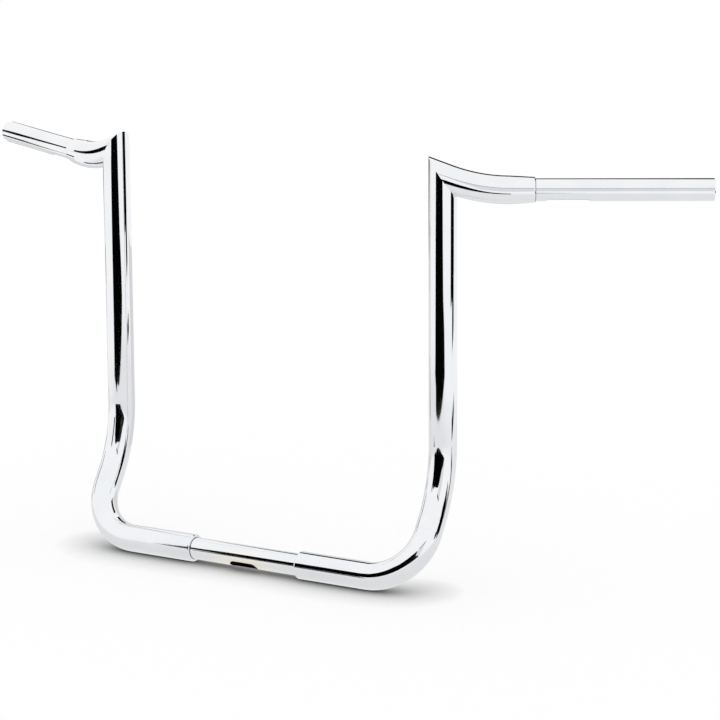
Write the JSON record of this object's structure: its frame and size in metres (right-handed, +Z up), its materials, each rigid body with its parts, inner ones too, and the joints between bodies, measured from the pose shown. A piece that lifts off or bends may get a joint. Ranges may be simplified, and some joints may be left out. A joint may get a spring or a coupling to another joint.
{
  "type": "ape hanger handlebar",
  "caption": "Tall chromed tube handlebar with bent risers, sharp mitred corners, curved top tubes, swept grip tubes and slots for hidden wiring.",
  "frame": {"origin": "centre of the clamp tube, on its axis, halfway between the risers", "axes": "+X across the bar towards the right grip as seen from the front, +Y to the rear of the motorcycle, +Z up along the risers"},
  "size_m": [0.9766, 0.2359, 0.4864],
  "materials": {
    "chromed_tube": "mirror polished chrome plate on steel tube"
  },
  "bodies": {
    "root": {"clamp_tube": "chromed_tube", "left_riser": "chromed_tube", "right_riser": "chromed_tube", "left_top_tube": "chromed_tube", "right_top_tube": "chromed_tube", "left_grip_tube": "chromed_tube", "right_grip_tube": "chromed_tube"}
  },
  "joints": []
}
